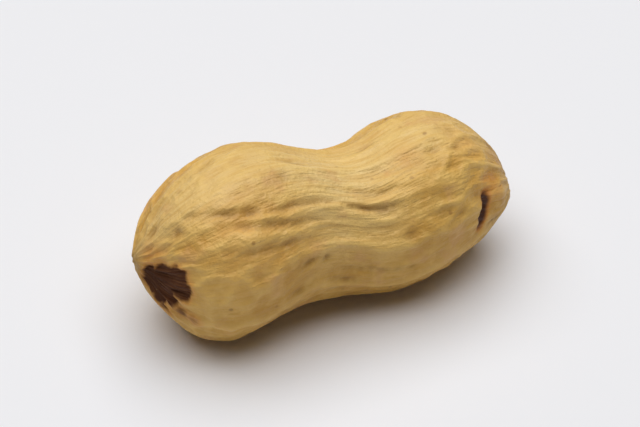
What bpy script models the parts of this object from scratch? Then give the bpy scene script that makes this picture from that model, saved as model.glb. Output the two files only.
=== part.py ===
"""A peanut in its shell: one dry two-seeded pod, lying on its side.

The pod runs along X, with its stem end at -X and its beak at +X, and it rests on Z = 0.
It grew as one piece, so it is one solid. A round ball is drawn out along X, pinched into
two lobes, ribbed, given a beak and a stem scar, and pressed flat where it stands.
Units are metres.
"""
import math

import bmesh
import bpy
from mathutils import Matrix, Vector

# Driving sizes.
POD_LENGTH = 0.0372        # stem end to beak, before the beak is drawn out
WAIST_WIDTH = 0.0140       # across the narrowest place
SECTION_HEIGHT = 0.97      # a section's height over its width

# Where the waist lies and how the lobes swell from it. Places along the pod are told
# from -1, the stem end, to 1, the beak.
WAIST_AT = 0.055
STEM_LOBE_SWELL = 0.0045   # how far the stem lobe would stand out past the waist
STEM_LOBE_REACH = 0.53     # how gently it does so
STEM_END_TAPER = 0.60      # how much narrower its end is than a ball's
BEAK_LOBE_SWELL = 0.0032
BEAK_LOBE_REACH = 0.42
BEAK_END_TAPER = -0.20     # below 0, because this end is blunter than a ball's
TAPER_POWER = 12           # the higher, the nearer the end the taper starts

# The middle line winds from side to side, and up and down as much.
WIND = 0.00060             # either way at the waist
WIND_MIDDLE = 0.0
WIND_REACH = 1.0
TIP_BEND = 0.0003          # the stem end up and back, the beak down and forward

# Ribs run from end to end, and die away at the ends and where the pod stands.
RIB_COUNT = 11
RIB_HEIGHT = 0.00010       # each side of the mean surface, and twice that at the waist
RIB_WAIST_REACH = 0.40     # how far from the waist they stay higher
RIB_TWIST = 0.08           # how far they turn towards either end, in radians
RIB_WORN_TURN = 0.30       # how far round from the underside they are worn, in radians
END_FADE_POWER = 4         # the higher, the nearer the end the relief lasts

# The seam is a wandering keel where the shell's two halves meet. Turns are in radians.
SEAM_TURN = 1.95
SEAM_HEIGHT = 0.00030
SEAM_SPREAD = 0.16
SEAM_WANDER = 0.12
SEAM_WANDER_RATE = 2.2

# Slow swellings, because no pod is quite round: share of the height, waves along the pod
# and where they start, times round it and where they start.
LUMP_HEIGHT = 0.00020
LUMPS = (
    (1.0, 2.6, 0.7, 2, 0.4),
    (0.6, 5.1, -1.1, 1, -0.8),
    (0.4, 7.3, 1.6, 3, 0.3),
)

# The beak is a short hook low on one side of its end, with a crease behind it.
BEAK_LENGTH = 0.0004
BEAK_SPREAD = 0.0016
BEAK_OFFSET = Vector((0.0, -0.0024, -0.0008))
CREASE_DEPTH = 0.0006
CREASE_SPREAD = 0.0010
CREASE_OFFSET = Vector((0.0, -0.0044, -0.0016))

# The stem scar is a round hollow at the other end.
SCAR_DEPTH = 0.0004
SCAR_SPREAD = 0.0014
SCAR_OFFSET = Vector((0.0, -0.0012, -0.0006))

# The pod stands on two small flats, one under each lobe.
FLAT_DEPTH = 0.00030       # how far each lobe is pressed in there
LEVELLING_ROUNDS = 3       # tipping the pod moves its lowest points a little

SIDES = 55                 # faces round the pod, five to a rib
RINGS = 44                 # faces along it
SMOOTH_UP_TO = math.radians(40)

SHELL_COLOUR = (0.60, 0.40, 0.17, 1.0)
SHELL_ROUGHNESS = 0.72


def clear_scene():
    for obj in list(bpy.data.objects):
        bpy.data.objects.remove(obj)


def bump(distance, spread):
    """A smooth hill, 1 in its middle, that fades to nothing by about twice its spread."""
    return math.exp(-((distance / spread) ** 2))


def body_radius(along):
    """The pod's radius at a place along it, before its round ends close it."""
    from_waist = along - WAIST_AT
    if from_waist < 0:
        swell, reach, taper = STEM_LOBE_SWELL, STEM_LOBE_REACH, STEM_END_TAPER
    else:
        swell, reach, taper = BEAK_LOBE_SWELL, BEAK_LOBE_REACH, BEAK_END_TAPER
    body = WAIST_WIDTH / 2 + swell * (1 - bump(from_waist, reach))
    return body * (1 - taper * along**TAPER_POWER)


def middle_shift(along):
    """How far the middle line lies to the back, and as far up, at a place along the pod."""
    from_middle = along - WIND_MIDDLE
    wind = -WIND * math.sin(2 * math.pi * from_middle) * bump(from_middle, WIND_REACH)
    return wind - TIP_BEND * along ** (TAPER_POWER + 1)


def end_fade(along):
    """1 over most of the pod, and 0 at both ends."""
    return 1 - along**END_FADE_POWER


def rib_height(along, turn):
    """Ribs that turn a little on their way along the pod."""
    from_underside = math.remainder(turn + math.pi / 2, 2 * math.pi)
    height = RIB_HEIGHT * end_fade(along) * (1 - bump(from_underside, RIB_WORN_TURN))
    height *= 1 + bump(along - WAIST_AT, RIB_WAIST_REACH)
    return height * math.cos(RIB_COUNT * (turn + RIB_TWIST * along))


def seam_height(along, turn):
    """The keel, which wanders a little and is highest on the lobes."""
    seam_turn = SEAM_TURN + SEAM_WANDER * math.sin(SEAM_WANDER_RATE * along)
    from_seam = math.remainder(turn - seam_turn, 2 * math.pi)
    return SEAM_HEIGHT * end_fade(along) * bump(from_seam, SEAM_SPREAD)


def lump_height(along, turn):
    """The slow swellings, added up."""
    height = 0.0
    for share, waves, start, times, turned in LUMPS:
        height += share * math.sin(waves * along + start) * math.cos(times * turn + turned)
    return LUMP_HEIGHT * height


def pod_point(on_ball):
    """Where a point of the unit ball goes on the pod's surface."""
    along = max(-1.0, min(1.0, on_ball.x))
    turn = math.atan2(on_ball.z, on_ball.y)
    relief = rib_height(along, turn) + seam_height(along, turn) + lump_height(along, turn)
    radius = body_radius(along) + relief
    shift = middle_shift(along)
    return Vector((
        along * POD_LENGTH / 2,
        on_ball.y * radius + shift,
        on_ball.z * radius * SECTION_HEIGHT + shift,
    ))


def across(point, offset):
    """How far a point is from a place on an end, seen along the pod."""
    return math.hypot(point.y - offset.y, point.z - offset.z)


def shape_ends(point):
    """Draws the beak out of one end and presses the crease and the stem scar in."""
    if point.x > 0:
        push = BEAK_LENGTH * bump(across(point, BEAK_OFFSET), BEAK_SPREAD)
        push -= CREASE_DEPTH * bump(across(point, CREASE_OFFSET), CREASE_SPREAD)
    else:
        push = SCAR_DEPTH * bump(across(point, SCAR_OFFSET), SCAR_SPREAD)
    return point + Vector((push, 0, 0))


def lowest_points(shell):
    """The lowest point of the stem lobe and of the beak lobe."""
    stem_lobe = [vert.co for vert in shell.verts if vert.co.x < 0]
    beak_lobe = [vert.co for vert in shell.verts if vert.co.x > 0]
    return [min(lobe, key=lambda point: point.z).copy() for lobe in (stem_lobe, beak_lobe)]


def level_lobes(shell):
    """Tips the pod about Y until both lobes reach equally far down."""
    for _ in range(LEVELLING_ROUNDS):
        stem_low, beak_low = lowest_points(shell)
        step = beak_low - stem_low
        tip = Matrix.Rotation(math.atan2(step.z, step.x), 3, "Y")
        bmesh.ops.rotate(shell, cent=Vector(), matrix=tip, verts=shell.verts)


def press_flats(shell):
    """Presses the underside of both lobes in to one level, so that each has a flat."""
    level = max(point.z for point in lowest_points(shell)) + FLAT_DEPTH
    for vert in shell.verts:
        vert.co.z = max(vert.co.z, level)


def stand_on_origin(shell):
    """Moves the pod so that the middle of its box's underside is the origin."""
    xs = [vert.co.x for vert in shell.verts]
    ys = [vert.co.y for vert in shell.verts]
    zs = [vert.co.z for vert in shell.verts]
    middle = Vector(((min(xs) + max(xs)) / 2, (min(ys) + max(ys)) / 2, min(zs)))
    bmesh.ops.translate(shell, vec=-middle, verts=shell.verts)


def shell_material():
    material = bpy.data.materials.new("dry_pod_shell")
    material.use_nodes = True
    shader = material.node_tree.nodes["Principled BSDF"]
    shader.inputs["Base Color"].default_value = SHELL_COLOUR
    shader.inputs["Roughness"].default_value = SHELL_ROUGHNESS
    shader.inputs["Metallic"].default_value = 0.0
    material.diffuse_color = SHELL_COLOUR
    return material


def pod_mesh():
    """A ball whose every point is moved to its place on the pod."""
    shell = bmesh.new()
    poles_on_x = Matrix.Rotation(math.pi / 2, 4, "Y")
    bmesh.ops.create_uvsphere(
        shell, u_segments=SIDES, v_segments=RINGS, radius=1.0, matrix=poles_on_x
    )
    for vert in shell.verts:
        vert.co = shape_ends(pod_point(vert.co))
    level_lobes(shell)
    press_flats(shell)
    stand_on_origin(shell)
    bmesh.ops.recalc_face_normals(shell, faces=shell.faces)
    mesh = bpy.data.meshes.new("peanut_pod")
    shell.to_mesh(mesh)
    shell.free()
    return mesh


def main():
    clear_scene()
    collection = bpy.data.collections.new("peanut")
    bpy.context.scene.collection.children.link(collection)
    mesh = pod_mesh()
    mesh.shade_smooth()
    mesh.set_sharp_from_angle(angle=SMOOTH_UP_TO)
    mesh.materials.append(shell_material())
    collection.objects.link(bpy.data.objects.new("peanut_pod", mesh))


main()
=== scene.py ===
# %% [markdown]
# # A peanut in its shell
#
# This lesson finishes one dry, two-seeded pod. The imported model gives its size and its
# place, as a plain closed solid that stands on the floor at height 0. On the real thing,
# the shell is a thin, woody husk. Cords of fibre run along it from the stem end to the
# beak, thinner ones tie them together, and the papery skin between them has dried and
# sunk, so that the whole pod wears a net of veins and pits.
#
# The order is the camera, the floor and the lights, then the shape, then the relief, and
# the colours last, because the colours follow the relief.

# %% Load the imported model
import math

import bmesh
import bpy
import numpy as np
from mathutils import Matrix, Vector, noise


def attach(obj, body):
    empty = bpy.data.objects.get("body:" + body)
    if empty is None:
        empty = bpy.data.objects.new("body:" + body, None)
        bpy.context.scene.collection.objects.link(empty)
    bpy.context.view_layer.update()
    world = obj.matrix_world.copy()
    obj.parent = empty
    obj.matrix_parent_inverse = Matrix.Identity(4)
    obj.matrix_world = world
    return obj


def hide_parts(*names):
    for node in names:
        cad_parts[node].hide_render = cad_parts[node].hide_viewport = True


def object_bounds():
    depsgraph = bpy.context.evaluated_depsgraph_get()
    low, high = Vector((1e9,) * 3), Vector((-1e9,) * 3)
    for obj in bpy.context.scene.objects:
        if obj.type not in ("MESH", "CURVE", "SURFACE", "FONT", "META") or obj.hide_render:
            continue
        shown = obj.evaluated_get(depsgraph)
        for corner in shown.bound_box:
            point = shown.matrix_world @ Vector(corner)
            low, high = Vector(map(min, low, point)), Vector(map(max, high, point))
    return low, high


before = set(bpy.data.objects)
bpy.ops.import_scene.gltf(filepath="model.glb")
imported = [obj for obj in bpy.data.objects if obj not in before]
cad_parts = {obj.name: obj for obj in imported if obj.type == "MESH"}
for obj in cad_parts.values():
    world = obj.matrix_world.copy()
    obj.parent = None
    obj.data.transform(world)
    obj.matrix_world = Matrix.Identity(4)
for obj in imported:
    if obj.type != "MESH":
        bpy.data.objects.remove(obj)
cad_low, cad_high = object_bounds()
MM = 0.001
pod_size = cad_high - cad_low
pod_middle = (cad_low + cad_high) / 2
print("packed pod, mm:", [round(side / MM, 1) for side in pod_size])

# %% [markdown]
# ## Camera
#
# The camera looks down on the pod at 42 degrees, from a little to the left of square on,
# so that the stem end is the nearer one. A long lens keeps the two ends in proportion, as a
# person sees a small thing on a table. It is worked out from the camera's distance and the
# share of the picture's width that the pod should fill.

# %% Camera
VIEW_AZIMUTH = math.radians(-23.9)
VIEW_ELEVATION = math.radians(42)
VIEW_DISTANCE = 0.375
SHARE_OF_WIDTH = 0.62
SENSOR_WIDTH = 36.0                # the sensor and the lens are in millimetres

towards_camera = Vector((
    math.sin(VIEW_AZIMUTH) * math.cos(VIEW_ELEVATION),
    -math.cos(VIEW_AZIMUTH) * math.cos(VIEW_ELEVATION),
    math.sin(VIEW_ELEVATION),
))
camera_data = bpy.data.cameras.new("table_camera")
camera_data.sensor_width = SENSOR_WIDTH
camera_data.lens = SENSOR_WIDTH * SHARE_OF_WIDTH * VIEW_DISTANCE / pod_size.x
camera = bpy.data.objects.new("table_camera", camera_data)
camera.location = pod_middle + towards_camera * VIEW_DISTANCE
camera.rotation_euler = (-towards_camera).to_track_quat("-Z", "Y").to_euler()
bpy.context.scene.collection.objects.link(camera)
bpy.context.scene.camera = camera
bpy.context.scene.view_settings.view_transform = "Standard"
print("lens, mm:", round(camera_data.lens))


# %% [markdown]
# ## Helpers for materials
#
# A material is a chain of small steps, each one a node. A few short helpers keep the chains
# readable: one adds a node and fills its inputs, one runs a value through a curve between
# two ends, one lays a colour over another where a mask says so, and two do sums.

# %% Helpers for materials
def new_material(name):
    """A material with one Principled shader, and that shader."""
    material = bpy.data.materials.new(name)
    material.use_nodes = True
    return material, material.node_tree.nodes["Principled BSDF"]


def add(tree, kind, inputs=None, **settings):
    """Adds a node. Each input takes a value, or another node's output, which is linked."""
    node = tree.nodes.new(kind)
    for name, value in settings.items():
        setattr(node, name, value)
    for name, value in (inputs or {}).items():
        if isinstance(value, bpy.types.NodeSocket):
            tree.links.new(value, node.inputs[name])
        else:
            node.inputs[name].default_value = value
    return node


def between(tree, value, low, high, to_low=0.0, to_high=1.0):
    """Turns low..high into to_low..to_high, smoothly, and holds the ends."""
    node = add(tree, "ShaderNodeMapRange", {
        "Value": value, "From Min": low, "From Max": high,
        "To Min": to_low, "To Max": to_high,
    }, interpolation_type="SMOOTHSTEP")
    return node.outputs["Result"]


def lay_over(tree, mask, under, over):
    """One colour over another, as far as the mask says."""
    node = add(tree, "ShaderNodeMix", {"Factor": mask, 6: under, 7: over}, data_type="RGBA")
    return node.outputs[2]


def times(tree, first, second):
    """Two values multiplied, such as a mask and how strong it is."""
    return add(tree, "ShaderNodeMath", {0: first, 1: second}, operation="MULTIPLY").outputs[0]


def sum_of(tree, first, second):
    """Two values added."""
    return add(tree, "ShaderNodeMath", {0: first, 1: second}, operation="ADD").outputs[0]


# %% [markdown]
# ## Floor
#
# The pod lies on a plain white table. One big plane does, because nothing of the table's
# edge shows. Its paint is a cool white that varies a little from place to place, as even a
# clean table does.

# %% Floor
FLOOR_SIDE = 4.0
FLOOR_WHITE = (0.86, 0.86, 0.88, 1.0)
FLOOR_GREY = (0.83, 0.83, 0.855, 1.0)


def floor_material():
    """Matt white paint, a little uneven."""
    material, shader = new_material("white_table")
    tree = material.node_tree
    place = add(tree, "ShaderNodeTexCoord").outputs["Object"]
    cloud = add(tree, "ShaderNodeTexNoise", {"Vector": place, "Scale": 6.0}).outputs["Fac"]
    colour = lay_over(tree, cloud, FLOOR_WHITE, FLOOR_GREY)
    tree.links.new(colour, shader.inputs["Base Color"])
    tree.links.new(between(tree, cloud, 0.3, 0.7, 0.5, 0.6), shader.inputs["Roughness"])
    return material


bpy.ops.object.select_all(action="DESELECT")
bpy.ops.mesh.primitive_plane_add(size=FLOOR_SIDE)
floor = bpy.context.active_object
floor.name = "table_top"
floor.data.materials.append(floor_material())
print("table top, m:", round(floor.dimensions.x, 2), "by", round(floor.dimensions.y, 2))

# %% [markdown]
# ## Light
#
# The light is that of a bright room: one large soft panel overhead, a little behind the pod,
# and a pale room all round. The panel is wider than it is far away, so the shadow has no
# edge and only darkens where the pod nearly touches the table.

# %% Light
PANEL_PLACE = Vector((0.0, 0.13, 0.86))
PANEL_SIDE = 1.2
PANEL_POWER = 11.4
ROOM_COLOUR = (0.97, 0.98, 1.0, 1.0)
ROOM_STRENGTH = 0.06

panel_data = bpy.data.lights.new("soft_panel", "AREA")
panel_data.shape = "SQUARE"
panel_data.size = PANEL_SIDE
panel_data.energy = PANEL_POWER
panel = bpy.data.objects.new("soft_panel", panel_data)
panel.location = PANEL_PLACE
panel.rotation_euler = (pod_middle - PANEL_PLACE).to_track_quat("-Z", "Y").to_euler()
panel.visible_camera = False
bpy.context.scene.collection.objects.link(panel)

room = bpy.data.worlds.new("bright_room")
room.use_nodes = True
room.node_tree.nodes["Background"].inputs["Color"].default_value = ROOM_COLOUR
room.node_tree.nodes["Background"].inputs["Strength"].default_value = ROOM_STRENGTH
bpy.context.scene.world = room
print("panel's distance from the pod, m:", round((PANEL_PLACE - pod_middle).length, 2))

# %% [markdown]
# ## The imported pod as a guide
#
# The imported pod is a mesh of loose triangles, so a copy of it is merged into one skin. The
# copy is a guide twice over: slices of it tell how thick the pod is at each place along it,
# and later the fine shell is shrunk onto it.

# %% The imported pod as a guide
MERGE_GAP = 1e-6
SLICE_HALF_WIDTH = 1.0 * MM
WAIST_FROM, WAIST_TO, WAIST_TRIES = -4 * MM, 6 * MM, 41


def merged_copy(node_name):
    """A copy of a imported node, as one connected skin."""
    copy = bpy.data.objects.new("guide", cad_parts[node_name].data.copy())
    bpy.context.scene.collection.objects.link(copy)
    skin = bmesh.new()
    skin.from_mesh(copy.data)
    bmesh.ops.remove_doubles(skin, verts=skin.verts, dist=MERGE_GAP)
    skin.to_mesh(copy.data)
    skin.free()
    return copy


def points_of(mesh):
    """A mesh's points as rows of x, y and z."""
    flat = np.empty(len(mesh.vertices) * 3)
    mesh.vertices.foreach_get("co", flat)
    return flat.reshape(-1, 3)


guide = merged_copy("peanut_pod")
guide_points = points_of(guide.data)


def slice_of(pod_points, x, half_width):
    """The middle (y, z) and half size (y, z) of the pod at a place along it."""
    near = pod_points[abs(pod_points[:, 0] - x) < half_width, 1:]
    low, high = near.min(axis=0), near.max(axis=0)
    return (low + high) / 2, (high - low) / 2


def girth(x):
    """How thick the guide is at a place along it, across and up added."""
    return slice_of(guide_points, x, SLICE_HALF_WIDTH)[1].sum()


waist_x = min(np.linspace(WAIST_FROM, WAIST_TO, WAIST_TRIES), key=girth)
print("guide points:", len(guide_points), " waist at x, mm:", round(waist_x / MM, 1))

# %% [markdown]
# ## Rough pod
#
# A pod this shape could be turned, lofted or sculpted. Here it starts as a ball with its
# poles on X, because a ball's rings already run round the pod and its meridians along it,
# which is how the real fibres run. Each ring is then picked in edit mode, squeezed to the
# pod's thickness at that place and moved onto its middle line, which gives the two lobes,
# the waist and the slow bends.

# %% Rough pod
CAGE_SIDES = 24
CAGE_RINGS = 16
SAME_RING = 1e-6


def pick(obj, wanted):
    """Selects the points of an object in edit mode that a test says yes to."""
    bpy.ops.mesh.select_all(action="DESELECT")
    mesh = bmesh.from_edit_mesh(obj.data)
    for vert in mesh.verts:
        vert.select = bool(wanted(vert.co))
    mesh.select_flush_mode()
    bmesh.update_edit_mesh(obj.data)


bpy.ops.object.select_all(action="DESELECT")
bpy.ops.mesh.primitive_uv_sphere_add(
    segments=CAGE_SIDES,
    ring_count=CAGE_RINGS,
    radius=pod_size.x / 2,
    location=(pod_middle.x, 0, 0),
    rotation=(0, math.pi / 2, 0),
)
shell = bpy.context.active_object
shell.name = "pod_shell"
bpy.ops.object.transform_apply(location=True, rotation=True, scale=True)
ball = points_of(shell.data)
ring_places = sorted({round(x, 7) for x in ball[:, 0]})[1:-1]

bpy.ops.object.mode_set(mode="EDIT")
bpy.ops.mesh.select_mode(type="VERT")
for x in ring_places:
    ring_radius = math.sqrt((pod_size.x / 2) ** 2 - (x - pod_middle.x) ** 2)
    middle, half = slice_of(guide_points, x, SLICE_HALF_WIDTH)
    pick(shell, lambda co: abs(co.x - x) < SAME_RING)
    bpy.ops.transform.resize(
        value=(1, half[0] / ring_radius, half[1] / ring_radius), center_override=(x, 0, 0)
    )
    bpy.ops.transform.translate(value=(0, middle[0], middle[1]))
for end in (cad_low.x, cad_high.x):
    middle = slice_of(guide_points, end, SLICE_HALF_WIDTH)[0]
    pick(shell, lambda co: abs(co.x - end) < SAME_RING)
    bpy.ops.transform.translate(value=(0, middle[0], middle[1]))
bpy.ops.object.mode_set(mode="OBJECT")
print("rough pod:", len(shell.data.vertices), "points in", len(ring_places), "rings")

# %% [markdown]
# ## Fine shell
#
# The veins are about half a millimetre wide, so the shell needs a point every seventh of a
# millimetre or so. Subdivision gives them, and Shrinkwrap lays them on the guide. The guide's
# own facets, each about a millimetre wide, would still show, so a long run of gentle
# smoothing irons them out. Ironing shrinks the shell a little, and the relief that comes next
# mostly presses inwards, so the shell is then let out by about as much as both take away.

# %% Fine shell
FINE_LEVELS = 4
IRONING_PASSES = 90
SPARE_SKIN = 0.34 * MM


def apply(obj, kind, **settings):
    """Adds a modifier with these settings and applies it."""
    bpy.ops.object.select_all(action="DESELECT")
    obj.select_set(True)
    bpy.context.view_layer.objects.active = obj
    modifier = obj.modifiers.new(kind.lower(), kind)
    for name, value in settings.items():
        setattr(modifier, name, value)
    bpy.ops.object.modifier_apply(modifier=modifier.name)


apply(shell, "SUBSURF", levels=FINE_LEVELS, render_levels=FINE_LEVELS)
apply(shell, "SHRINKWRAP", target=guide)
apply(shell, "SMOOTH", factor=0.5, iterations=IRONING_PASSES)
apply(shell, "DISPLACE", mid_level=0, strength=SPARE_SKIN)
bpy.data.objects.remove(guide)
print("fine shell:", len(shell.data.vertices), "points,", len(shell.data.polygons), "faces")

# %% [markdown]
# ## Places on the shell
#
# The net is easier to draw on a flat map of the shell than in space. The map has two
# directions: how far a point lies along the skin from the waist, and how far round it lies,
# as an angle. The way along is measured over the curve of the lobes, so that nothing is
# squeezed at the round ends.
#
# Both are measured from a middle line, which is found slice by slice. The slices are cut
# from the fine shell, because the guide's facets would put a step in the line at each one,
# and every vein would then look like a saw. They crowd towards the ends, where the pod
# narrows fastest.

# %% Places on the shell
STATIONS = 60
FULL_RELIEF_RADIUS = 5 * MM        # nearer the ends, where the pod is thinner, relief fades
points = points_of(shell.data)
first_x, last_x = points[:, 0].min(), points[:, 0].max()
share_along = (1 - np.cos(np.linspace(0, math.pi, STATIONS))) / 2
station_x = first_x + share_along * (last_x - first_x)
slices = [slice_of(points, x, gap) for x, gap in zip(station_x, np.gradient(station_x))]
station_middle = np.array([middle for middle, half in slices])
station_radius = np.array([half.mean() for middle, half in slices])
station_radius[[0, -1]] = 0
steps = np.hypot(np.diff(station_x), np.diff(station_radius))
station_along = np.concatenate(([0], np.cumsum(steps)))
station_along -= np.interp(waist_x, station_x, station_along)


def soft_noise(where, size, seed=0.0):
    """Smooth noise between about -1 and 1, with lumps of this size, at each point."""
    return np.array([noise.noise(Vector(p) / size + Vector((seed, 0, 0))) for p in where])


def map_places(where):
    """How far along the skin from the waist, and how far round, each point lies."""
    along = np.interp(where[:, 0], station_x, station_along)
    across = where[:, 1] - np.interp(where[:, 0], station_x, station_middle[:, 0])
    up = where[:, 2] - np.interp(where[:, 0], station_x, station_middle[:, 1])
    return along, np.arctan2(up, across)


along, turn = map_places(points)
radius_here = np.interp(points[:, 0], station_x, station_radius)
end_fade = np.clip(radius_here / FULL_RELIEF_RADIUS, 0, 1)
print("along the skin, mm:", round(along.min() / MM, 1), "to", round(along.max() / MM, 1))

# %% [markdown]
# ## Net of veins
#
# Between the long cords of fibre the skin has sunk into rows of pits. So the pits come
# first: two rows of them between each pair of main cords, each row set half a pit on from
# its neighbour, and every pit a little out of its place. A vein is then simply the border
# between two pits, which is where a point is as far from one pit's middle as from the next.
# A border between two rows is a long vein, and a border within a row is a cross tie.

# %% Plant the pits
MAIN_CORDS = 11
ROWS_TO_A_CORD = 2
PITS_EACH_WAY = 8                  # from the waist to either end
PIT_LENGTH = 3.1 * MM
PIT_STRETCH = 1.5                  # a pit's length over its width
PIT_JITTER = 0.36
MEAN_RADIUS = 7.6 * MM

pit_rows = MAIN_CORDS * ROWS_TO_A_CORD
way_round = 2 * math.pi * MEAN_RADIUS
row_width = way_round / pit_rows
random = np.random.default_rng(7)


def plant_row(row):
    """The middles of one row's pits, along and round, in metres on the map."""
    order = np.arange(-PITS_EACH_WAY, PITS_EACH_WAY + 1) + 0.5 * (row % 2)
    jitter = random.uniform(-PIT_JITTER, PIT_JITTER, (2, len(order)))
    return (order + jitter[0]) * PIT_LENGTH, (row + 0.5 + jitter[1]) * row_width


pits = [plant_row(row) for row in range(pit_rows)]
print("pits:", sum(len(row[0]) for row in pits), "in", pit_rows, "rows")

# %% [markdown]
# Before the veins are drawn, the map is bent a little by smooth noise taken in space. That
# makes every line on it wander, and leaves no break where the map's two edges meet. The bend
# dies away at the ends, where the lines come close together. Then each point is told how far
# it is from the nearest pits in its own row and in the next one, and half the difference
# between two such distances is about how far it is from the vein between them.

# %% Draw the veins between them
BEND_SLOW, BEND_SLOW_SIZE = 1.0 * MM, 7 * MM
BEND_QUICK, BEND_QUICK_SIZE = 0.45 * MM, 2.4 * MM


def bend(seed):
    """How far the map is pulled aside at each point, in metres."""
    slow = BEND_SLOW * soft_noise(points, BEND_SLOW_SIZE, seed)
    quick = BEND_QUICK * soft_noise(points, BEND_QUICK_SIZE, seed + 1)
    return slow * end_fade + quick * end_fade**3


map_along = along + bend(1)
map_round = turn * MEAN_RADIUS + bend(3)


def the_short_way(aside):
    """A distance round the pod, taken the shorter way."""
    return aside - way_round * np.round(aside / way_round)


def two_nearest_in_row(row):
    """How far each point is from the nearest and the next pit of a row."""
    row_along, row_round = pits[row]
    ahead = (map_along[:, None] - row_along) / PIT_STRETCH
    away = np.hypot(ahead, the_short_way(map_round[:, None] - row_round))
    away.partition(1, axis=1)
    return away[:, :2]


by_row = np.array([two_nearest_in_row(row) for row in range(pit_rows)])
nearest_rows = np.argsort(by_row[:, :, 0], axis=0)[:2]
each_point = np.arange(len(points))
own_pit, next_in_row = by_row[nearest_rows[0], each_point].T
other_row_pit = by_row[nearest_rows[1], each_point, 0]
from_long_vein = (other_row_pit - own_pit) / 2
from_cross_tie = (next_in_row - own_pit) / 2

# A border has the number of the higher of its two rows, and between the last and the first, 0.
neighbours = abs(nearest_rows[0] - nearest_rows[1]) == 1
edge_number = np.where(neighbours, nearest_rows.max(axis=0), 0)
print("farthest point from a long vein, mm:", round(float(from_long_vein.max()) / MM, 2))

# %% [markdown]
# Now each vein gets its rounded section. Main cords are the thickest and stand highest, the
# finer long veins come and go, and the cross ties are the lowest. At the waist and towards
# the ends the ties almost vanish, and the long veins run straight.

# %% Give the veins their section
MAIN_WIDTH, FINE_WIDTH, TIE_WIDTH = 0.46 * MM, 0.36 * MM, 0.32 * MM
# How high each kind stands, from 0 to 1: its usual height, how far that comes and goes, how
# wide the patches are in which it does, and the noise's seed.
MAIN_RISE = (0.85, 0.5, 6 * MM, 9)
FINE_RISE = (0.55, 0.7, 4 * MM, 5)
TIE_RISE = (0.5, 0.8, 4 * MM, 6)
WAIST_REACH = 7 * MM
TIES_LOST_AT_WAIST = 0.8
JOIN_POWER = 4                     # the higher, the sharper the corners where veins meet


def hill(distance, width):
    """1 at no distance, falling smoothly to nothing by about twice the width."""
    return np.exp(-((distance / width) ** 2))


def come_and_go(usual, swing, size, seed):
    """A height from 0 to 1 at each point, which rises and falls over the shell."""
    return np.clip(usual + swing * soft_noise(points, size, seed), 0, 1)


def long_veins(distance, number):
    """The height of the long veins, from how far they are and which ones they are."""
    on_main_cord = number % ROWS_TO_A_CORD == 0
    fine = fine_height * hill(distance, FINE_WIDTH)
    return np.where(on_main_cord, main_height * hill(distance, MAIN_WIDTH), fine)


at_waist = hill(points[:, 0] - waist_x, WAIST_REACH)
main_height = come_and_go(*MAIN_RISE)
fine_height = come_and_go(*FINE_RISE)
tie_height = come_and_go(*TIE_RISE) * (1 - TIES_LOST_AT_WAIST * at_waist) * end_fade
row_number = map_round / row_width
nearest_edge = np.round(row_number)
straight = long_veins(abs(row_number - nearest_edge) * row_width, nearest_edge)
winding = long_veins(from_long_vein, edge_number)
straightness = np.clip(at_waist + 1 - end_fade, 0, 1)
long_vein = winding + (straight - winding) * straightness
cross_tie = tie_height * hill(from_cross_tie, TIE_WIDTH)
joined = (long_vein**JOIN_POWER + cross_tie**JOIN_POWER) ** (1 / JOIN_POWER)
vein = np.clip(joined, 0, 1)
print("share of the shell that is vein:", round(float((vein > 0.5).mean()), 2))

# %% [markdown]
# ## Deep pits
#
# A few pits have sunk much further than the rest. They are the short dark dashes that the eye
# picks out first. Each is a long narrow dent at the middle of its pit. They stay shallow on the
# front, where the next step draws its furrows one by one, so that the two don't tangle.

# %% Deep pits
DEEP_SHARE = 0.22                  # of all pits
SHALLOWEST_DENT = 0.4              # its depth over the deepest one's
DENT_WIDTH, DENT_LENGTH = 0.42 * MM, 1.1 * MM
FRONT_TURN, FRONT_SPREAD = math.radians(128), math.radians(30)
SHALLOWER_IN_FRONT = 0.85


def deep_pits():
    """How far, from 0 to 1, each point lies in a dent."""
    dent = np.zeros(len(points))
    for row_along, row_round in pits:
        for pit_along, pit_round in zip(row_along, row_round):
            if random.random() > DEEP_SHARE:
                continue
            ahead = (map_along - pit_along) / DENT_LENGTH
            aside = the_short_way(map_round - pit_round) / DENT_WIDTH
            deep = random.uniform(SHALLOWEST_DENT, 1)
            dent = np.maximum(dent, deep * np.exp(-(ahead**2) - aside**2))
    return dent


in_front = hill(turn - FRONT_TURN, FRONT_SPREAD)
dents = deep_pits() * end_fade * (1 - SHALLOWER_IN_FRONT * in_front)
print("share of the shell that is dent:", round(float((dents > 0.3).mean()), 3))
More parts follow.
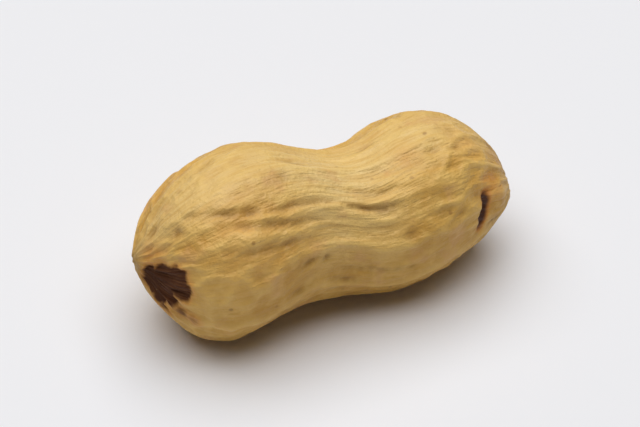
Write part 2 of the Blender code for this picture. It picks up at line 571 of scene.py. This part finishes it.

# %% [markdown]
# ## Furrows
#
# Across the waist the skin has folded into long furrows between the cords, with pale ridges pushed
# up beside them. The ones that show most are listed one by one, each as a stroke of a round tool:
# a path on the map, told as places along the pod in millimetres and turns round it in degrees, a
# width, and a depth or a height. A turn of 90 is the top of the pod, and 180 is its front. A
# stroke is a row of dabs that are strongest in its middle, and a little noise makes its edges
# waver.

# %% Furrows
DABS = 24
STROKE_INSET = 0.04                # how far in from its ends a stroke's fading is cut off
FURROWS = [
    # path as (x in mm, turn in degrees), half width in mm, depth in mm
    ([(-12.6, 112), (-11.2, 116), (-10.0, 119)], 0.40, 0.28),
    ([(-9.6, 121), (-8.0, 123)], 0.42, 0.26),
    ([(-7.4, 126), (-5.8, 127), (-3.5, 128), (-0.6, 129)], 0.38, 0.26),
    ([(-14.6, 104), (-13.6, 106)], 0.42, 0.18),
    ([(0.2, 130), (2.0, 132), (5.6, 136)], 0.44, 0.36),
    ([(1.0, 118), (3.4, 121), (5.6, 124)], 0.36, 0.11),
    ([(-11.6, 125), (-9.0, 131), (-6.0, 137), (-2.2, 143)], 0.40, 0.28),
    ([(-11.0, 145), (-8.0, 149), (-4.0, 152)], 0.38, 0.22),
    ([(-0.8, 181), (2.0, 182), (5.6, 184)], 0.36, 0.20),
    ([(9.4, 107), (10.8, 110)], 0.32, 0.18),
    ([(12.0, 112), (13.2, 114)], 0.32, 0.18),
    ([(4.0, 104), (8.0, 116), (12.0, 128)], 0.34, 0.06),
    ([(-5.0, 52), (-0.5, 56), (4.0, 53)], 0.40, 0.34),
    ([(-3.5, 30), (1.0, 26), (5.5, 31)], 0.40, 0.34),
    ([(-5.0, -12), (0.0, -16), (4.0, -12)], 0.36, 0.30),
    ([(-4.0, -60), (1.5, -64), (6.0, -60)], 0.38, 0.28),
    ([(-6.5, -120), (-1.0, -124), (3.5, -119)], 0.36, 0.30),
]
RIDGES = [
    # path as (x in mm, turn in degrees), half width in mm, height in mm
    ([(0.8, 111), (5.0, 119), (9.0, 127), (12.8, 135)], 0.46, 0.12),
    ([(-12.2, 136), (-9.0, 140), (-5.4, 144)], 0.50, 0.22),
    ([(-14.4, 114), (-13.2, 119)], 0.55, 0.20),
    ([(-1.0, 137), (2.4, 141), (5.0, 145)], 0.44, 0.20),
    ([(-7.6, 117), (-4.0, 121), (-0.4, 123)], 0.44, 0.16),
]
WAVER, WAVER_SIZE = 0.20 * MM, 2.6 * MM
true_along = along + WAVER * soft_noise(points, WAVER_SIZE, 11)
true_round = turn * MEAN_RADIUS + WAVER * soft_noise(points, WAVER_SIZE, 12)


def stroke(path, half_width, depth):
    """How deep a stroke presses each point, in metres."""
    dab_x, dab_turn = np.array(path, float).T
    corners = np.linspace(0, 1, len(path))
    pressed = np.zeros(len(points))
    for share in np.linspace(0, 1, DABS):
        dab_along = np.interp(np.interp(share, corners, dab_x) * MM, station_x, station_along)
        dab_round = math.radians(np.interp(share, corners, dab_turn)) * MEAN_RADIUS
        away = np.hypot(true_along - dab_along, the_short_way(true_round - dab_round))
        way = STROKE_INSET + (1 - 2 * STROKE_INSET) * share
        firmness = math.sqrt(math.sin(math.pi * way))
        pressed = np.maximum(pressed, firmness * hill(away, half_width * MM))
    return depth * MM * pressed


furrows = np.max([stroke(*furrow) for furrow in FURROWS], axis=0)
ridges = np.max([stroke(*ridge) for ridge in RIDGES], axis=0)
print("deepest furrow, mm:", round(furrows.max() / MM, 2))

# %% [markdown]
# ## Stem scar, beak crease and single marks
#
# The rest is a handful of marks, each at its own place. At the stem end a patch of skin came away
# with the stem, and left a shallow, ragged hollow with a fainter tail that runs down to one side.
# At the other end the beak is bent over, with a deep crease behind it and a lip on its far side.
# Here and there the skin has a single small dent or a rusty blush, and a few patches at the waist
# are painted lighter, as painted light against the shade there.
#
# Each place is told as x, y and z in millimetres from the pod's origin, close to the skin.

# %% Marks
STEM_SCAR = [
    # place in mm, radius in mm, strength
    ((-17.6, -2.0, 8.8), 1.35, 1.0),
    ((-17.1, -3.3, 9.4), 1.50, 1.0),
    ((-16.3, -4.5, 10.0), 1.40, 1.0),
    ((-17.2, -3.4, 8.0), 1.30, 1.0),
    ((-16.2, -5.0, 9.0), 1.35, 1.0),
    ((-17.7, -1.6, 7.4), 1.20, 0.95),
    ((-17.3, -2.5, 6.7), 1.10, 0.85),
    ((-16.9, -3.9, 7.2), 1.25, 0.80),
    ((-16.8, -3.0, 5.5), 1.30, 0.48),
    ((-16.1, -4.9, 6.2), 1.40, 0.46),
    ((-15.4, -5.8, 5.8), 1.30, 0.42),
]
CREASE_FROM, CREASE_TO = (14.6, -5.5, 10.1), (13.7, -6.5, 7.1)
CREASE_HALF_WIDTH = 0.56 * MM
LIP_FROM, LIP_TO = (16.3, -4.6, 9.4), (15.9, -5.2, 7.0)
LIP_HALF_WIDTH = 1.10 * MM
SINGLE_PITS = [
    # place in mm, radius in mm, depth in mm
    ((5.7, -7.8, 10.0), 0.60, 0.15),
    ((-2.4, -7.2, 9.7), 0.45, 0.24),
    ((-4.5, -1.8, 16.3), 0.60, 0.16),
    ((-15.4, -2.3, 13.6), 0.50, 0.20),
    ((9.5, 4.0, 14.5), 0.45, 0.24),
    ((-10.0, 7.6, 9.5), 0.50, 0.26),
    ((-13.5, 4.5, 4.0), 0.45, 0.22),
    ((12.0, 5.8, 5.5), 0.42, 0.22),
]
BLUSHES = [
    # place in mm, radius in mm, strength
    ((-17.5, -1.5, 10.8), 1.5, 0.70),
    ((15.3, -4.9, 10.2), 1.5, 0.95),
    ((-9.5, -6.0, 13.5), 5.0, 0.32),
    ((-9.4, -7.7, 11.9), 1.9, 0.35),
    ((14.0, -1.5, 13.6), 2.2, 0.30),
    ((7.6, -2.2, 14.4), 1.5, 0.40),
    ((-13.0, 5.0, 12.0), 2.2, 0.40),
    ((8.0, 7.0, 6.0), 2.0, 0.35),
]
# Patches painted lighter at the front of the waist: painted light that lifts the shade in its
# hollow.
WAIST_LIGHT_PATCHES = [
    # place in mm, radius in mm, strength
    ((-0.5, -3.0, 14.0), 4.8, 0.80),
    ((2.6, -5.5, 12.0), 3.5, 0.50),
    ((-1.0, -6.4, 11.6), 2.6, 0.60),
]
print("blobs in the scar:", len(STEM_SCAR), " single pits:", len(SINGLE_PITS))
print("blushes:", len(BLUSHES), " bleached patches:", len(WAIST_LIGHT_PATCHES))

# %% [markdown]
# A place told in whole tenths of a millimetre is seldom quite on the skin, so each one is
# pulled onto the nearest point of the shell. A mark then fades with the distance from there.
# The scar is many such blobs run together. Noise is added to their distances, which makes
# its outline as ragged as torn skin. The crease and the lip are rows of dabs.

# %% Where the marks lie on the shell
CREST_DABS = 13
CREST_END = 0.4                    # how strong a crest is at its ends, over its middle
RAGGED, RAGGED_SIZE = 0.35 * MM, 1.1 * MM
TORN, TORN_SIZE = 0.15 * MM, 0.4 * MM
SCAR_LEVEL, SCAR_WALL = 0.30, 0.25  # where the scar's hollow starts, and how soft its wall is
PIT_DEPTH = 0.26 * MM              # that of the deepest single pit


def away_from(place):
    """How far each point is from the point of the shell nearest to a place, in metres."""
    gap = np.linalg.norm(points - np.array(place) * MM, axis=1)
    return np.linalg.norm(points - points[gap.argmin()], axis=1)


def crest(start, end, half_width):
    """A ridge or groove on the skin between two places, 1 along its middle."""
    height = np.zeros(len(points))
    for share in np.linspace(0, 1, CREST_DABS):
        place = np.array(start) + share * (np.array(end) - np.array(start))
        firmness = CREST_END + (1 - CREST_END) * math.sin(math.pi * share)
        height = np.maximum(height, firmness * hill(away_from(place), half_width))
    return height


def patches(marks, ragged=0.0):
    """Soft patches, each strongest in its middle. Ragged noise moves their edges."""
    return np.max([
        strength * hill(np.maximum(away_from(place) + ragged, 0), radius * MM)
        for place, radius, strength in marks
    ], axis=0)


torn_edge = RAGGED * soft_noise(points, RAGGED_SIZE, 21)
torn_edge += TORN * soft_noise(points, TORN_SIZE, 22)
scar_field = patches(STEM_SCAR, torn_edge)
scar = np.clip((scar_field - SCAR_LEVEL) / SCAR_WALL, 0, 1)
crease = crest(CREASE_FROM, CREASE_TO, CREASE_HALF_WIDTH)
lip = crest(LIP_FROM, LIP_TO, LIP_HALF_WIDTH) * (1 - crease)
single_pits = patches(SINGLE_PITS) * MM / PIT_DEPTH
print("points in the scar:", int((scar > 0.5).sum()), " in the crease:", int((crease > 0.5).sum()))

# %% [markdown]
# ## Grain of the skin
#
# Fine fibres run the length of the shell. To follow it round both ends, their noise is read
# on the pod as if it were pulled straight: one direction is the way along the skin, and the
# other two are the point's turn, as a place on a circle. A circle has no end, so the grain
# has no seam. It fades at the two ends, where all the fibres meet in one point. The same
# places are kept for the material.

# %% Grain
COARSE_FIBRE, FINE_FIBRE = 0.55 * MM, 0.28 * MM
FINE_FIBRE_SHARE = 0.6
DRAWN_OUT = np.array([0.13, 1.0, 1.0])  # read slowly along the pod, the noise gets long

straightened = np.column_stack((
    along, np.cos(turn) * MEAN_RADIUS, np.sin(turn) * MEAN_RADIUS,
))
grain = soft_noise(straightened * DRAWN_OUT, COARSE_FIBRE, 31)
grain += FINE_FIBRE_SHARE * soft_noise(straightened * DRAWN_OUT, FINE_FIBRE, 32)
grain *= end_fade
print("straightened pod, mm:", np.round(np.ptp(straightened, axis=0) / MM, 1))

# %% [markdown]
# ## How deep the skin has sunk
#
# The skin between the veins is pressed in, and the veins stay where the smooth shell was, so
# the pod keeps its size. The net isn't equally deep everywhere. It is deepest on the far
# side, comes and goes in slow patches, and is worn down along the top of the stem lobe, where
# the pod has been rubbed. The dents and furrows come on top of it, then a fine crumple and
# the grain, and then the single marks, each with a depth of its own.

# %% How deep the skin has sunk
NET_DEPTH = 0.36 * MM
NEAR_SIDE_NET, FAR_SIDE_EXTRA = 0.68, 0.32
PATCHY, PATCH_SIZE = 0.5, 8 * MM
WEAKEST_NET, STRONGEST_NET = 0.35, 1.1
RUB_TURN, RUB_SPREAD = math.radians(100), math.radians(28)
RUB_X, RUB_REACH, RUBBED_AWAY = -5 * MM, 9 * MM, 0.5
DENT_DEPTH = 0.26 * MM
GRAIN_DEPTH = 0.060 * MM
CRUMPLE_DEPTH = 0.07 * MM
CRUMPLE_SIZE, SMALL_CRUMPLE_SIZE, SMALL_CRUMPLE_SHARE = 1.3 * MM, 0.6 * MM, 0.3
SCAR_DEPTH = 0.30 * MM
SCAR_FLOOR, SCAR_STREAKS = 0.8, 0.5  # the scar's evenly sunk share, and its grain's
CREASE_DEPTH = 0.95 * MM
DEEPEST = 1.4 * MM

far_side = 0.5 + 0.5 * np.cos(turn)
rubbed = hill(turn - RUB_TURN, RUB_SPREAD) * hill(points[:, 0] - RUB_X, RUB_REACH)
patchy_net = NEAR_SIDE_NET + FAR_SIDE_EXTRA * far_side
patchy_net += PATCHY * soft_noise(points, PATCH_SIZE, 8)
patchy_net = np.clip(patchy_net, WEAKEST_NET, STRONGEST_NET)
net_strength = patchy_net * (1 - RUBBED_AWAY * rubbed) * end_fade
crumple = 0.5 + 0.5 * soft_noise(points, CRUMPLE_SIZE, 13)
crumple += SMALL_CRUMPLE_SHARE * soft_noise(points, SMALL_CRUMPLE_SIZE, 14)

sunk = NET_DEPTH * net_strength * (1 - vein) + DENT_DEPTH * dents + furrows
sunk += CRUMPLE_DEPTH * crumple + GRAIN_DEPTH * (1 + grain)
sunk += PIT_DEPTH * single_pits + CREASE_DEPTH * crease
sunk += SCAR_DEPTH * scar * (SCAR_FLOOR + SCAR_STREAKS * grain)
sunk = np.clip(sunk, 0, DEEPEST)
print("sunk by, mm:", round(sunk.mean() / MM, 2), "on average and", round(sunk.max() / MM, 2))

# %% [markdown]
# ## Pressing the relief in
#
# Weights are a handy way to hold a depth at each point: they are what weight painting makes,
# and a Displace modifier can read them. One set presses the skin in. Another draws out the
# lip of the beak and the pale ridges, which are all that stands up. What the material needs
# to know, such as where the veins run, is kept with the points as attributes.
#
# Last, the few points that would dip below the table are raised to it, which leaves the two
# small flats that the pod stands on.

# %% Press the relief in
LIP_HEIGHT = 0.40 * MM
FLAT_VEIN_PALENESS = 0.4           # of a vein that hardly stands up, over the palest
STAND_GAP = 0.02 * MM


def paint(obj, name, weights):
    """A vertex group with a weight for each point."""
    group = obj.vertex_groups.new(name=name)
    for index, weight in enumerate(weights):
        group.add((index,), weight, "REPLACE")


def remember(obj, name, values):
    """An attribute with a value, or an x, y and z, for each point, for the material."""
    kind, field = ("FLOAT", "value") if values.ndim == 1 else ("FLOAT_VECTOR", "vector")
    attribute = obj.data.attributes.new(name, kind, "POINT")
    attribute.data.foreach_set(field, values.astype(np.float32).ravel())


paint(shell, "sunk_skin", sunk / DEEPEST)
paint(shell, "drawn_out", np.clip(lip + ridges / LIP_HEIGHT, 0, 1))
paleness = FLAT_VEIN_PALENESS + (1 - FLAT_VEIN_PALENESS) * net_strength
pale = np.clip(vein * end_fade * paleness + ridges / ridges.max(), 0, 1)
remember(shell, "vein", pale)
remember(shell, "blush", patches(BLUSHES))
# Where the waist is painted lighter, as painted light.
remember(shell, "waist_light_patches", patches(WAIST_LIGHT_PATCHES))
# Where the colour is painted darker, as painted shade in the hollows.
remember(shell, "hollow", np.clip(dents + furrows / furrows.max() + single_pits, 0, 1))
remember(shell, "scar", scar_field)
remember(shell, "crease", crease)
remember(shell, "straightened", straightened)

apply(shell, "DISPLACE", vertex_group="sunk_skin", mid_level=0, strength=-DEEPEST)
apply(shell, "DISPLACE", vertex_group="drawn_out", mid_level=0, strength=LIP_HEIGHT)
settled = points_of(shell.data)
standing = settled[:, 2] < cad_low.z + STAND_GAP
settled[standing, 2] = cad_low.z + STAND_GAP
shell.data.vertices.foreach_set("co", settled.ravel())
bpy.ops.object.shade_smooth()
print("points that the pod stands on:", int(standing.sum()))

# %% [markdown]
# ## Colours and patterns
#
# A dried shell is straw, but never one straw. These are its colours, and a few that are painted
# light and shade, each as red, green and blue, and the patterns that mix them: soft clouds of any
# size, and fibres, which are clouds drawn out along the pod. What the relief left on the shell is
# recalled by name, so that the colour follows it.

# %% Colours and patterns
STRAW = (0.74, 0.44, 0.100, 1)
TAN = (0.60, 0.315, 0.050, 1)
PALE_VEIN = (0.86, 0.57, 0.170, 1)
# A darker brown, painted shade in the dents, furrows and pits.
HOLLOW_SHADE_BROWN = (0.30, 0.140, 0.020, 1)
# A pale straw that is painted light: the highlight on the top and the lighter patches at the
# waist.
PAINTED_LIGHT_STRAW = (0.89, 0.65, 0.270, 1)
# A saturated brown, painted shade on the underside.
UNDERSIDE_SHADE_BROWN = (0.56, 0.30, 0.045, 1)
RUST = (0.66, 0.25, 0.035, 1)
ROSY = (0.66, 0.34, 0.130, 1)
# The scar's own dark brown, also painted into the beak's crease as painted shade.
SCAR_BROWN_AND_CREASE_SHADE = (0.080, 0.021, 0.002, 1)
TORN_FIBRE = (0.21, 0.080, 0.020, 1)
SPECK_BROWN = (0.28, 0.11, 0.020, 1)


def per_mm(size):
    """The scale of a noise whose lumps are this many millimetres wide."""
    return 1 / (size * MM)


def recall(tree, name, output="Fac"):
    """An attribute of the shell, as the relief left it."""
    return add(tree, "ShaderNodeAttribute", attribute_name=name).outputs[output]


def cloud(tree, place, size, detail=2.0):
    """Soft noise around 0.5, with lumps this many millimetres wide."""
    return add(tree, "ShaderNodeTexNoise", {
        "Vector": place, "Scale": per_mm(size), "Detail": detail,
    }).outputs["Fac"]


def fibres(tree, size, stretch):
    """Soft noise whose lumps are drawn out along the shell, to this many times their width."""
    place = add(tree, "ShaderNodeMapping", {
        "Vector": recall(tree, "straightened", "Vector"), "Scale": (1 / stretch, 1, 1),
    }).outputs["Vector"]
    return cloud(tree, place, size, 3.0)


print("palest colour:", PAINTED_LIGHT_STRAW[:3], " darkest:", SCAR_BROWN_AND_CREASE_SHADE[:3])

# %% [markdown]
# ## Plain skin
#
# Colours go on one over another, the pod's own in the order in which it got them. Straw and tan
# lie in slow blotches. The top is painted paler, as a painted highlight, and the underside is
# painted darker and browner, as painted shade. Rusty blushes, and the lighter patches painted on
# the waist as painted light, come where the marks step put them. Then the lengthwise grain darkens
# the skin, the veins are rubbed pale, and a paler mottle and rosy stains break up what is left.

# %% Plain skin
# Heights on the straightened pod, from minus to plus its mean radius, over which the painted
# highlight on the top and the painted shade on the underside fade in.
HIGHLIGHT_FROM, HIGHLIGHT_FULLY = 6.1 * MM, 8 * MM
SHADE_FULLY, SHADE_TO = -8 * MM, 5 * MM


def plain_skin(tree, place):
    """The colour of the skin before its marks, with a painted highlight on top and painted shade
    below.
    """
    skin = lay_over(tree, between(tree, cloud(tree, place, 4.5, 4), 0.35, 0.65), STRAW, TAN)
    up_side = add(tree, "ShaderNodeSeparateXYZ", {
        "Vector": recall(tree, "straightened", "Vector"),
    }).outputs["Z"]
    # Painted highlight: the top is painted paler, where the light from overhead falls brightest.
    painted_top_highlight = between(tree, up_side, HIGHLIGHT_FROM, HIGHLIGHT_FULLY, 0, 0.70)
    skin = lay_over(tree, painted_top_highlight, skin, PAINTED_LIGHT_STRAW)
    # Painted light: paler patches at the waist, against the shade that falls there.
    skin = lay_over(tree, recall(tree, "waist_light_patches"), skin, PAINTED_LIGHT_STRAW)
    # Painted shade: the underside is painted darker and browner, away from the light.
    painted_underside_shade = between(tree, up_side, SHADE_FULLY, SHADE_TO, 0.55, 0)
    skin = lay_over(tree, painted_underside_shade, skin, UNDERSIDE_SHADE_BROWN)
    skin = lay_over(tree, recall(tree, "blush"), skin, RUST)
    grain_mask = between(tree, fibres(tree, 0.35, 9), 0.42, 0.68, 0, 0.42)
    skin = lay_over(tree, grain_mask, skin, TAN)
    skin = lay_over(tree, times(tree, recall(tree, "vein"), 0.55), skin, PALE_VEIN)
    mottle = between(tree, cloud(tree, place, 1.2, 3), 0.45, 0.75, 0, 0.4)
    skin = lay_over(tree, mottle, skin, PALE_VEIN)
    stain = between(tree, cloud(tree, place, 3.0, 3), 0.54, 0.70, 0, 0.40)
    return lay_over(tree, stain, skin, ROSY)


# %% [markdown]
# ## Marks on the skin
#
# Small round specks are where a seed of a Voronoi pattern happens to lie near the skin, and a
# cloud keeps them to some places. Furrows and pits are painted a darker brown, unevenly, as
# painted shade in the hollows. The scar is dark brown, and the crease is painted the same dark
# brown as painted shade, each with a rusty rim. The scar's edge is frayed along the fibres, and
# some torn ones show paler in it.

# %% Marks on the skin
SCAR_FRAY = (0.36, 0.62)           # where the scar's brown starts, and where it is full


def marked_skin(tree, place, skin, scar_edge):
    """The skin with its specks and scar, and painted shade in its hollows and crease."""
    specks = add(tree, "ShaderNodeTexVoronoi", {"Vector": place, "Scale": per_mm(2.4)})
    speck = between(tree, specks.outputs["Distance"], 0.04, 0.13, 0.55, 0)
    speck = times(tree, speck, between(tree, cloud(tree, place, 4), 0.40, 0.55))
    skin = lay_over(tree, speck, skin, SPECK_BROWN)
    # Painted shade: the dents, furrows and pits are painted darker brown, unevenly.
    unevenly = between(tree, cloud(tree, place, 0.8), 0.3, 0.6, 0.35, 0.8)
    skin = lay_over(tree, times(tree, recall(tree, "hollow"), unevenly), skin, HOLLOW_SHADE_BROWN)
    skin = lay_over(tree, between(tree, recall(tree, "scar"), 0.10, 0.40, 0, 0.6), skin, RUST)
    crease_mask = recall(tree, "crease")
    skin = lay_over(tree, between(tree, crease_mask, 0.02, 0.3), skin, RUST)
    # Painted shade: the deep crease is painted dark brown.
    skin = lay_over(tree, between(tree, crease_mask, 0.12, 0.5), skin, SCAR_BROWN_AND_CREASE_SHADE)
    scar_mask = between(tree, scar_edge, *SCAR_FRAY)
    skin = lay_over(tree, scar_mask, skin, SCAR_BROWN_AND_CREASE_SHADE)
    torn = between(tree, fibres(tree, 0.28, 6), 0.48, 0.72, 0, 0.55)
    return lay_over(tree, times(tree, scar_mask, torn), skin, TORN_FIBRE)


# %% [markdown]
# ## Gloss and fine grain
#
# The skin is dull, with a faint polish on its fibres and none in the scar. What is too fine
# for the mesh, the fibres a quarter of a millimetre wide and the crumbs between them, is left
# to a bump. The specular level is the same all over, so it is set on the shader itself.

# %% Gloss and fine grain
FRAY = 0.16                        # how far the fibres pull the scar's edge out
DRY_SPECULAR = 0.45
FINE_GRAIN_HEIGHT = 0.22 * MM


def shell_material():
    """The dry skin with all its colours, gloss and grain."""
    material, shader = new_material("dry_pod_shell")
    tree = material.node_tree
    place = add(tree, "ShaderNodeTexCoord").outputs["Object"]
    frayed = times(tree, fibres(tree, 0.3, 4), FRAY)
    scar_edge = sum_of(tree, recall(tree, "scar"), frayed)
    skin = marked_skin(tree, place, plain_skin(tree, place), scar_edge)
    tree.links.new(skin, shader.inputs["Base Color"])

    polish = between(tree, fibres(tree, 0.35, 9), 0.3, 0.7, 0.42, 0.60)
    roughness = sum_of(tree, polish, between(tree, scar_edge, *SCAR_FRAY, 0, 0.4))
    tree.links.new(roughness, shader.inputs["Roughness"])
    shader.inputs["Specular IOR Level"].default_value = DRY_SPECULAR

    fine_fibres = times(tree, fibres(tree, 0.26, 7), 0.6)
    crumbs = times(tree, cloud(tree, place, 0.40, 4), 0.6)
    bump = add(tree, "ShaderNodeBump", {
        "Strength": 1.0,
        "Distance": FINE_GRAIN_HEIGHT,
        "Height": sum_of(tree, fine_fibres, crumbs),
    })
    tree.links.new(bump.outputs["Normal"], shader.inputs["Normal"])
    print("nodes in the shell's material:", len(tree.nodes))
    return material


shell.data.materials.append(shell_material())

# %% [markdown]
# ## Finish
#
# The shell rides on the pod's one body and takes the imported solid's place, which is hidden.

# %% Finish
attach(shell, "root")
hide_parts("peanut_pod")
